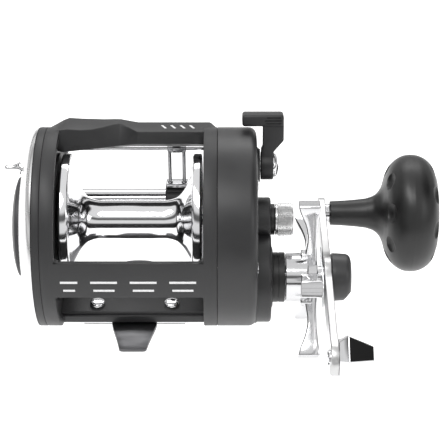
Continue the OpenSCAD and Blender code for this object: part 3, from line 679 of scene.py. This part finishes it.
def tension_cap():
    rows = 10
    low, high, root = 65.0, 71.3, 7.2
    band = [(low + (high - low) * i / rows, root) for i in range(rows + 1)]
    outline = ([(64, 5.3), (64, 7.05), (64.12, 7.2), (64.6, 7.2), (64.7, 6.8), (64.85, 6.8)] + band
        + [(71.5, root), (71.9, 7.05), (72, 6.8), (72, 4.6), (71.75, 4.3), (71.7, 0), (69.4, 0), (69.4, 5.3)])
    piece = turned("tension_cap", outline, SPOOL.y, SPOOL.z, 60)
    # diamond knurl: each cell of the band rises to a point
    choose_faces(piece, lambda c, n: low < c.x < high and math.hypot(c.y - SPOOL.y, c.z - SPOOL.z) > 7.05)
    bpy.ops.mesh.poke(offset=0.42 * MM)
    put_down()
    return finish(piece, "bright_metal", "tension", "tension_cap", angle=18)


right_housing()
drive_collar()
tension_seat()
tension_cap()


# ---- Spool and level wind ----

def spool():
    half = smooth_curve([(12, 8.65), (15.4, 8.7), (18.6, 9.5), (20.8, 10.8), (23.2, 13.9), (25, 18.6),
        (26.6, 24.9), (27, 28.2)], 6)
    lip = [(27.15, 28.9), (27.5, 29.45), (28.1, 29.7), (30.3, 29.7), (30.9, 29.4), (31.2, 28.8), (31.2, 26.9),
        (30.9, 26.4), (29.4, 26), (28.2, 20), (26, 14.6), (23.6, 12), (22, 9), (22, 6.6), (30.8, 6.6),
        (31.2, 6.2), (31.2, 2.55)]
    right = half + lip
    left = [(-x, radius) for x, radius in reversed(right)]
    return finish(turned("spool", left + right, SPOOL.y, SPOOL.z, 192), "spool_aluminium", "spool_set",
        "spool", angle=26)


def worm_tube():
    outline = [(-32, 3.6), (-32, 5), (32, 5), (32, 3.6)]
    piece = turned("worm_tube", outline, WORM.y, WORM.z, 96)
    slot = block("slot", (-25.1, 25.1), (WORM.y - 1.9, WORM.y + 1.9), (WORM.z - 6, WORM.z - 2))
    fuse(slot, post("slot_end", -25.1, WORM.y, (WORM.z - 6, WORM.z - 2), 1.9),
        post("slot_start", 25.1, WORM.y, (WORM.z - 6, WORM.z - 2), 1.9))
    cut(piece, slot)
    return finish(piece, "chrome", "root", "worm_tube")


def guide_carriage():
    x, y, z = GUIDE.x, WORM.y, WORM.z
    sleeve = [(x - 5.5, 5.06), (x - 5.5, 6.6), (x - 5.1, 7), (x + 5.1, 7), (x + 5.5, 6.6), (x + 5.5, 5.06)]
    piece = turned("guide_carriage", sleeve, y, z, 96)
    saddle = soften(block("saddle", (x - 5.4, x + 5.4), (y - 3.4, y + 4), (z + 5.3, z + 7.08)), 0.4, 3)
    boss = soften(post("boss", x, y, (z - 9.4, z - 5.3), 3.2), 0.25, 2)
    fuse(piece, saddle, boss)
    cut(piece, post("pawl_bore", x, y, (z - 10, z - 4), 1.56))
    return finish(piece, "black_plastic", "guide", "guide_carriage")


def guide_head():
    x, y, foot = GUIDE.x, WORM.y, WORM.z + 7.1
    top, post_gap = ROD.z, 6.6
    piece = soften(block("guide_head", (x - 5.2, x + 5.2), (y - 2.2, y + 2.8), (foot, foot + 2.6)), 0.5, 3)
    for side in (-1, 1):
        across = x + side * post_gap / 2
        upright = post("post", across, y, (foot + 1, top + 0.6), 0.85, 32)
        collar = soften(post("collar", across, y, (foot + 2.2, foot + 3.5), 1.25, 32), 0.3, 2)
        fuse(piece, upright, collar)
    eye = soften(block("eye", (x - 4.3, x + 4.3), (y - 1.7, y + 1.7), (top - 1.6, top + 1.6)), 0.6, 3)
    ear = soften(rod("ear", (x - 1.9, x + 1.9), y, top, 2.15, 48), 0.3, 2)
    fuse(piece, eye, ear)
    cut(piece, rod("rod_hole", (x - 6, x + 6), y, top, 1.06, 40),
        rod("rivet_hole", (x - 0.7, x + 0.7), y - 2.2, foot + 1.5, 0.5, 24))
    return finish(piece, "guide_steel", "guide", "guide_head")


def pawl_nut():
    x, y, z = GUIDE.x, WORM.y, WORM.z
    piece = post("pawl_nut", x, y, (z - 11.4, z - 7.2), 4.1, 48)
    soften(piece, 0.4, 3)
    cut(piece, post("room", x, y, (z - 9.7, z - 6), 3.22),
        block("coin_slot", (x - 5, x + 5), (y - 0.5, y + 0.5), (z - 12, z - 10.7)))
    return finish(piece, "chrome", "guide", "pawl_nut")


spool()
worm_tube()
guide_carriage()
guide_head()
pawl_nut()


# ---- Crank, star wheel and knob ----

def star_wheel():
    drum = [(68.5, 5.8), (68.5, 10.7), (68.8, 11), (77.9, 11), (78.3, 10.6), (78.35, 8.9), (78.7, 8.2),
        (82.4, 8), (82.8, 7.6), (82.8, 3.06), (70.6, 3.06), (70.6, 5.8)]
    wheel = turned("star_wheel", drum, DRIVE.y, DRIVE.z, 128)
    # each station: reach, inner and outer X, half width
    stations = [(6, 76.6, 82.6, 3.0), (10, 76.8, 82.6, 2.8), (14, 77.5, 82.5, 2.5), (18, 78.1, 82.5, 2.35),
        (21.5, 78.2, 82.6, 2.35), (25, 77.6, 82.7, 2.6), (28, 76.7, 82.9, 3.0), (30.5, 75.7, 83.1, 3.5),
        (33, 74.7, 83.4, 3.75), (36.2, 73.8, 83.7, 3.75)]
    sections = []
    for reach, inner, outer, half in stations:
        sections.append([(reach, -half, -inner), (reach, half, -inner), (reach, half, -outer),
            (reach, -half, -outer)])
    arm = soften(loft("arm", sections), 0.75, 4, 50)
    # three bands across the pad's end
    for shift in (-1.9, 0.0, 1.9):
        groove = block("groove", (35.95, 37), (shift + 0.55, shift + 0.85), (-84.5, -73))
        cut(arm, groove)
    swing(arm, -90, "Y")
    lug = soften(block("lug", (75.2, 80.6), (-2.9, 2.9), (9.2, 12.6)), 0.7, 3)
    fuse(arm, lug)
    swing(arm, 0, "X", (0, DRIVE.y, DRIVE.z))
    arms, first_turn = 5, 63.8
    for number in range(arms):
        copy = twin(arm, "arm_copy")
        fuse(wheel, turn(copy, first_turn + number * 360 / arms, DRIVE.y, DRIVE.z))
    bpy.data.objects.remove(arm)
    return finish(wheel, "star_chrome", "star", "star_wheel", angle=38)


def arc_points(y, radius, start, step, count):
    """Points round a centre on the crank's line, from one turn on in equal steps."""
    turns = [math.radians(start + step * i) for i in range(count)]
    return [(y + radius * math.cos(a), radius * math.sin(a)) for a in turns]


def bar_outline():
    """The crank arm from the knob's end round to the counterweight's end."""
    front, back = KNOB.y - DRIVE.y, WEIGHT.y - DRIVE.y
    end, hub = 7.3, 9.6
    side = [(front - 12, 5.8), (16, 6.3), (11, 6.9)]
    side += arc_points(0, hub, 50, 10, 9)
    side += [(-11, 6.9), (-16, 6.3), (back + 12, 5.8)]
    upper = arc_points(front, end, 0, 15, 7) + side + arc_points(back, end, 90, 15, 7)
    lower = [(y, -z) for y, z in reversed(upper[1:-1])]
    return [(DRIVE.y + y, DRIVE.z + z) for y, z in upper + lower]


def crank_arm():
    piece = slab("crank_arm", bar_outline(), 85.7, 89.1)
    soften(piece, 0.45, 3, 50)
    for y0, y1 in ((DRIVE.y + 14, KNOB.y - 11), (WEIGHT.y + 11, DRIVE.y - 14)):
        groove = soften(block("groove", (88.7, 90), (y0, y1), (DRIVE.z - 2.6, DRIVE.z + 2.6)), 1.2, 4)
        cut(piece, groove)
    cut(piece, rod("nut_hole", (85, 90), DRIVE.y, DRIVE.z, 3.02),
        rod("post_hole", (85, 90), KNOB.y, KNOB.z, 2.52),
        rod("screw_hole", (85, 90), WEIGHT.y, WEIGHT.z, 2.02))
    return finish(piece, "arm_aluminium", "crank", "crank_arm")


def click_leaf():
    piece = block("click_leaf", (84.7, 85.2), (DRIVE.y - 17, DRIVE.y + 17), (DRIVE.z - 6.2, DRIVE.z + 6.2))
    choose_edges(piece, lambda a, b: abs(a.y - b.y) < 0.1 and abs(a.z - b.z) < 0.1)
    bpy.ops.mesh.bevel(offset=3.2 * MM, segments=5, affect="EDGES")
    put_down()
    cut(piece, rod("hole", (84, 86), DRIVE.y, DRIVE.z, 5.02))
    soften(piece, 0.12, 2, 50)
    return finish(piece, "inner_steel", "crank", "click_leaf")


def nut_cap():
    outline = ([(89.1, 7.4), (89.1, 10.4), (89.5, 10.8), (91, 10.75), (95.2, 10.5)]
        + smooth_curve([(95.8, 10.4), (96.8, 9.9), (97.5, 9), (97.9, 7.6), (98, 6)], 3)
        + [(98, 0), (94.4, 0), (94.4, 7.4)])
    piece = turned("nut_cap", outline, DRIVE.y, DRIVE.z, 96)
    # the end is cut on a slant towards its lower edge, leaving a crisp rim
    low_side = Vector((0, math.cos(math.radians(237)), math.sin(math.radians(237))))
    across = (Vector((0.80, 0, 0)) + 0.6 * low_side).normalized()
    spot = Vector((96.9, DRIVE.y, DRIVE.z)) + 7.4 * low_side
    edit(piece)
    bpy.ops.mesh.bisect(plane_co=spot * MM, plane_no=across, use_fill=True, clear_outer=True)
    close_up(piece)
    soften(piece, 0.3, 2, 26)
    return finish(piece, "cap_plastic", "crank", "nut_cap")


def knob_post():
    outline = [(84.5, 0), (84.5, 2.6), (84.7, 3), (85.1, 4.2), (85.7, 4.2), (85.7, 2.5), (89.1, 2.5),
        (89.1, 4.3), (89.3, 4.5), (90.0, 4.5), (90.1, 4.1), (90.3, 4.1), (90.4, 4.5), (91, 4.5),
        (91.2, 4.3), (91.2, 2.5), (133.4, 2.5), (133.4, 4.4), (135, 4.4), (135, 0)]
    return finish(turned("knob_post", outline, KNOB.y, KNOB.z, 72), "chrome", "crank", "knob_post")


def knob():
    dents_round = 8
    stem = [(91.5, 2.56), (91.5, 5.35), (91.8, 5.7), (98, 6.0), (104, 6.5), (108.6, 7.05)]
    flare = smooth_curve([(108.6, 7.05), (109.4, 7.3), (112, 8.2), (114.2, 9.9), (116, 12.6), (117.1, 15.8),
        (118.1, 19.2), (119.9, 22.6), (122.9, 25.6), (126.2, 27.4), (129.6, 27.97)], 6)
    outer = smooth_curve([(129.6, 27.97), (133.2, 27.5), (136.8, 25.8), (139.7, 22.8), (141.5, 18.4),
        (142.2, 13), (142.4, 8)], 6)
    outline = stem + flare[1:] + outer[1:] + [(142.4, 5.4), (142.2, 5.2), (133, 5.2), (133, 2.56)]
    piece = turned("knob", outline, KNOB.y, KNOB.z, 160)
    dents = []
    for x, reach, slope, first in ((118.0, 21.6, 24, 12.0), (141.6, 21.8, -26, 34.5)):
        put_down()
        bpy.ops.mesh.primitive_uv_sphere_add(segments=40, ring_count=24, radius=MM)
        dent = new_piece("dent")
        dent.scale = (3.0, 4.9, 4.6)
        settle(dent)
        swing(dent, slope, "Y", (x, KNOB.y, KNOB.z + reach))
        for number in range(dents_round):
            copy = twin(dent, "dent_copy")
            dents.append(turn(copy, first + number * 360 / dents_round, KNOB.y, KNOB.z))
        bpy.data.objects.remove(dent)
    cut(piece, join(dents))
    soften(piece, 0.35, 2, 24)
    return finish(piece, "knob_rubber", "knob_grip", "knob", angle=30)


def knob_cap():
    outline = [(139.4, 0), (139.4, 5.0), (139.6, 5.18), (140.9, 5.18), (141.2, 4.8), (141.3, 3.2),
        (141.1, 2.9), (141.1, 0)]
    return finish(turned("knob_cap", outline, KNOB.y, KNOB.z, 72), "knob_rubber", "knob_grip", "knob_cap")


def counterweight():
    outline = [(89.1, 2.02), (89.1, 8.6), (93, 11.6), (103.6, 6.4), (103.6, 0), (97, 0), (97, 2.02)]
    piece = turned("counterweight", outline, WEIGHT.y, WEIGHT.z, 6)
    soften(piece, 0.22, 2, 12)
    choose_faces(piece, lambda c, n: n.x > 0.95)
    bpy.ops.mesh.inset(thickness=0.5 * MM, depth=-0.25 * MM)
    put_down()
    return finish(piece, "chrome", "crank", "counterweight", angle=14)


def weight_screw():
    outline = [(84.5, 0), (84.5, 3.2), (84.8, 3.6), (85.7, 3.6), (85.7, 2), (96.6, 2), (96.6, 0)]
    piece = turned("weight_screw", outline, WEIGHT.y, WEIGHT.z, 64)
    cut(piece, block("slot", (84.2, 85.1), (WEIGHT.y - 4, WEIGHT.y + 4), (WEIGHT.z - 0.45, WEIGHT.z + 0.45)))
    return finish(piece, "chrome", "crank", "weight_screw")


star_wheel()
crank_arm()
click_leaf()
nut_cap()
knob_post()
knob()
knob_cap()
counterweight()
weight_screw()


# ---- Free-spool lever ----

def clutch_lever():
    reach = 21.1
    # side view: how far out along X, and how far from the pivot
    arm = [(57.5, -5), (62.9, -5), (62.9, 6.2), (63.3, 7.2), (67.5, 12), (67.5, 22), (67.1, 23.2), (66, 23.8),
        (58.2, 23.8), (58.2, 8.6), (57.5, 7.4)]
    piece = side_slab("clutch_lever", arm, -4.2, 4.2)
    hub = rod("hub", (57.3, 62.9), 0, 0, 6.4, 72)
    bar = block("bar", (49, 67.5), (-5, 5), (reach - 2.7, reach + 2.7))
    soften(piece, 0.5, 3)
    soften(hub, 0.5, 3)
    soften(bar, 1.3, 4)
    fuse(piece, hub, bar)
    # three grip grooves on the pad, on both of its broad sides
    for side in (-1, 1):
        for number, (start, end) in enumerate(((59.6, 66.4), (59, 66.6), (59.8, 66.2))):
            cut(piece, soften(block("groove", (start, end), (side * 5 - 0.6, side * 5 + 0.6),
                (reach - 1.6 + number * 1.3, reach - 1.0 + number * 1.3)), 0.12, 2))
    cut(piece, rod("pivot_hole", (57, 63.5), 0, 0, 3.02))
    turned_by = math.degrees(math.atan2(LEVER.z - PLATE.z, LEVER.y - PLATE.y)) - 90
    swing(piece, turned_by, "X", (0, LEVER.y, LEVER.z))
    return finish(piece, "lever_plastic", "lever", "clutch_lever")


def lever_screw():
    dome = smooth_curve([(63.0, 5.6), (63.5, 5.5), (64.2, 5), (64.9, 3.9), (65.45, 2.3), (65.7, 0.0)], 4)
    dome[-1] = (65.7, 0.0)
    outline = [(58.4, 0), (58.4, 1.5), (62.9, 1.5), (62.9, 5.6)] + dome
    return finish(turned("lever_screw", outline, LEVER.y, LEVER.z, 72), "chrome", "lever", "lever_screw")


clutch_lever()
lever_screw()


# ---- Foot and fasteners ----

def foot_base():
    piece = block("foot_base", (FOOT_LOW.x, FOOT_HIGH.x), (FOOT_LOW.y, FOOT_HIGH.y), (1.2, 2.3))
    choose_edges(piece, lambda a, b: abs(a.x - b.x) < 0.1 and abs(a.y - b.y) < 0.1)
    bpy.ops.mesh.bevel(offset=2.6 * MM, segments=6, affect="EDGES")
    put_down()
    soften(piece, 0.3, 2, 50)
    return finish(piece, "chrome", "root", "foot_base")


def foot_blade():
    """A plate under the base and a spoon-shaped tongue to the front and the rear."""
    under = soften(block("foot_blade", (-23.3, 23.3), (-14.5, 14.5), (0.05, 1.2)), 0.25, 2)
    stations = [(13.7, 10.2, 0.2, 1.05), (15.52, 10.35, 0.12, 1.1), (15.6, 10.3, 0.0, 2.3),
        (18, 10.0, 0.0, 2.25), (22, 9.0, 0.0, 2.15), (26, 7.95, 0.0, 2.1), (30, 7.0, 0.0, 2.0),
        (33.2, 6.4, 0.0, 1.9), (34.6, 6.1, 0.05, 1.8), (35.3, 5.4, 0.15, 1.65), (35.68, 4.2, 0.3, 1.5)]
    sections = []
    for reach, half, low, high in stations:
        crown = min(0.3, (high - low) * 0.2)
        sections.append([(reach, -half, low), (reach, half, low), (reach, half, high - crown),
            (reach, half * 0.55, high - crown * 0.3), (reach, 0, high),
            (reach, -half * 0.55, high - crown * 0.3),
            (reach, -half, high - crown)])
    tongue = loft("tongue", sections)
    for side in (-1, 1):
        copy = twin(tongue, "tongue_copy")
        swing(copy, 90 * side, "Z")
        soften(copy, 0.3, 3, 50)
        fuse(under, copy)
    bpy.data.objects.remove(tongue)
    return finish(under, "foot_metal", "root", "foot_blade", angle=40)


def foot_bolts():
    bolts = []
    bolt_x, bolt_y = 17, 10
    for x in (-bolt_x, bolt_x):
        for y in (-bolt_y, bolt_y):
            outline = [(1.35, 0), (1.35, 1.95), (8, 1.95), (8, 3.3), (8.2, 3.5), (9, 3.5)]
            outline += smooth_curve([(9, 3.5), (9.6, 3.2), (10, 2.3), (10.15, 1.2), (10.2, 0.0)], 3)[1:]
            outline[-1] = (10.2, 0.0)
            bolt = turned("foot_bolts", outline, 0, 0, 48)
            bolts.append(swing(bolt, -90, "Y", (x, y, 0)))
    return finish(join(bolts), "chrome", "root", "foot_bolts")


def side_screw(side, at, reach):
    """Round-headed screw with a crossed recess."""
    angle = math.radians(at)
    y, z = PLATE.y + reach * math.cos(angle), PLATE.z + reach * math.sin(angle)
    if side > 0:
        outline = [(33.4, 0), (33.4, 1.5), (55.5, 1.5), (55.5, 2.5), (55.55, 2.6), (55.75, 2.4), (55.95, 1.6),
            (56, 0.8), (56, 0)]
        recess = (55.6, 56.6)
    else:
        outline = [(-34.9, 0), (-34.9, 1.5), (-41.4, 1.5), (-41.4, 2.2), (-41.6, 2.4), (-42.1, 2.3),
            (-42.5, 1.5), (-42.6, 0)]
        recess = (-43, -42)
    screw = turned("plate_screws", outline, y, z, 40)
    for tilt in (0, 90):
        blade = block("blade", recess, (-1.25, 1.25), (-0.28, 0.28))
        cut(screw, swing(blade, tilt + at, "X", (0, y, z)))
    return screw


def plate_screws():
    right_turns, right_reach = (25, 120, 175, 305), 38.6
    left_turns, left_reach = (75, 195, 300), 40
    screws = [side_screw(1, at, right_reach) for at in right_turns]
    screws += [side_screw(-1, at, left_reach) for at in left_turns]
    return finish(join(screws), "chrome", "root", "plate_screws")


foot_base()
foot_blade()
foot_bolts()
plate_screws()


# ---- Plain print marks, which say nothing ----

def print_tick(x, length, turn_at):
    """A thin bar of print on the rear bar's round face."""
    tick = block("tick", (x, x + length), (-0.55, 0.55), (44.74, 44.82))
    choose_edges(tick, lambda a, b: abs(a.x - b.x) > 0.1)
    bpy.ops.mesh.subdivide(number_cuts=3)
    put_down()
    return swing(tick, turn_at - 90, "X", (0, PLATE.y, PLATE.z))


def rear_marks():
    ticks = []
    for x, length in ((-29.5, 7.5), (-16.5, 11.5), (0.5, 11.5), (17.5, 11.5)):
        for row, trim in ((179.7, 0.0), (185.2, 1.2)):
            ticks.append(print_tick(x + trim, length - 2 * trim, row))
    return finish(join(ticks), "white_ink", "root")


def top_marks():
    """Four slanted strokes on the top bar's flat."""
    start, end = Vector((0, 26, 39.4)), Vector((0, 12.5, 42))
    tilt = math.degrees(math.atan2(end.z - start.z, end.y - start.y))
    first, apart, slant = 14, 4.2, 24
    strokes = []
    for number in range(4):
        stroke = block("stroke", (-0.5, 0.5), (-2.3, 2.3), (-0.04, 0.03))
        swing(stroke, slant, "Z")
        at = (start + end) / 2 + Vector((first + number * apart, PLATE.y, PLATE.z))
        strokes.append(swing(stroke, tilt - 180, "X", at))
    return finish(join(strokes), "white_ink", "root")


rear_marks()
top_marks()


# ---- Studio ----

def studio():
    put_down()
    bpy.ops.mesh.primitive_plane_add(size=6, location=(0, 0, -0.07))
    floor = new_piece("floor")
    floor_paint, tree, shader, place = start_finish("floor_paint", (0.93, 0.93, 0.93), 0.6)
    vary_colour(tree, shader, noise(tree, place, 3.0, 2.0), (0.925, 0.925, 0.925), (0.94, 0.94, 0.94))
    shader.inputs["Emission Color"].default_value = (1, 1, 1, 1)
    shader.inputs["Emission Strength"].default_value = 0.45
    floor.data.materials.append(floor_paint)

    world = bpy.data.worlds.new("studio")
    scene.world = world
    world.use_nodes = True
    tree = world.node_tree
    backdrop = tree.nodes["Background"]
    backdrop.inputs["Strength"].default_value = 0.85
    place = node(tree, "ShaderNodeTexCoord")
    split = node(tree, "ShaderNodeSeparateXYZ")
    tree.links.new(place.outputs["Generated"], split.inputs["Vector"])
    bands = node(tree, "ShaderNodeValToRGB")
    ramp = bands.color_ramp
    ramp.elements[0].position = 0.0
    ramp.elements[0].color = (0.04, 0.04, 0.04, 1)
    ramp.elements[1].position = 1.0
    ramp.elements[1].color = (1.0, 1.0, 1.0, 1)
    for spot, level in ((0.10, 0.06), (0.16, 0.95), (0.42, 1.0), (0.50, 0.14), (0.62, 0.16), (0.70, 1.0)):
        step = ramp.elements.new(spot)
        step.color = (level, level, level, 1)
    tree.links.new(split.outputs["Z"], bands.inputs["Fac"])
    # a dark card high on the crank's side, which gives the chrome there its dark faces
    toward_card = node(tree, "ShaderNodeVectorMath", operation="DOT_PRODUCT")
    toward_card.inputs[1].default_value = (0.743, 0.151, 0.652)
    tree.links.new(place.outputs["Generated"], toward_card.inputs[0])
    card = node(tree, "ShaderNodeMapRange")
    for name, value in (("From Min", 0.92), ("From Max", 0.96), ("To Min", 1.0), ("To Max", 0.03)):
        card.inputs[name].default_value = value
    tree.links.new(toward_card.outputs["Value"], card.inputs["Value"])
    shaded = node(tree, "ShaderNodeVectorMath", operation="SCALE")
    tree.links.new(bands.outputs["Color"], shaded.inputs[0])
    tree.links.new(card.outputs["Result"], shaded.inputs["Scale"])
    tree.links.new(shaded.outputs["Vector"], backdrop.inputs["Color"])

    def soft_box(name, place_at, aim, size, power):
        data = bpy.data.lights.new(name, "AREA")
        data.shape = "RECTANGLE"
        data.size, data.size_y = size
        data.energy = power
        lamp = bpy.data.objects.new(name, data)
        scene.collection.objects.link(lamp)
        lamp.location = place_at
        lamp.rotation_euler = (Vector(aim) - Vector(place_at)).to_track_quat("-Z", "Y").to_euler()

    soft_box("key_light", (-0.25, -0.3, 1.0), (0.03, 0, 0.04), (0.8, 0.35), 5)
    soft_box("fill_light", (0.75, -0.55, 0.6), (0.05, 0, 0.04), (0.4, 0.4), 1.2)
    soft_box("rim_light", (0.1, 0.8, 0.7), (0.03, 0, 0.05), (0.9, 0.3), 3)

    eye = bpy.data.cameras.new("camera")
    eye.lens = 131.9
    eye.sensor_width = 36
    eye.clip_start = 0.01
    camera = bpy.data.objects.new("camera", eye)
    scene.collection.objects.link(camera)
    look_at = Vector((40.95, -1.15, 46.23)) * MM
    pitch, distance = math.radians(57), 0.74
    camera.location = look_at + Vector((0, -math.sin(pitch), math.cos(pitch))) * distance
    camera.rotation_euler = Euler((pitch, 0, 0))
    scene.camera = camera
    scene.view_settings.view_transform = "Standard"


studio()
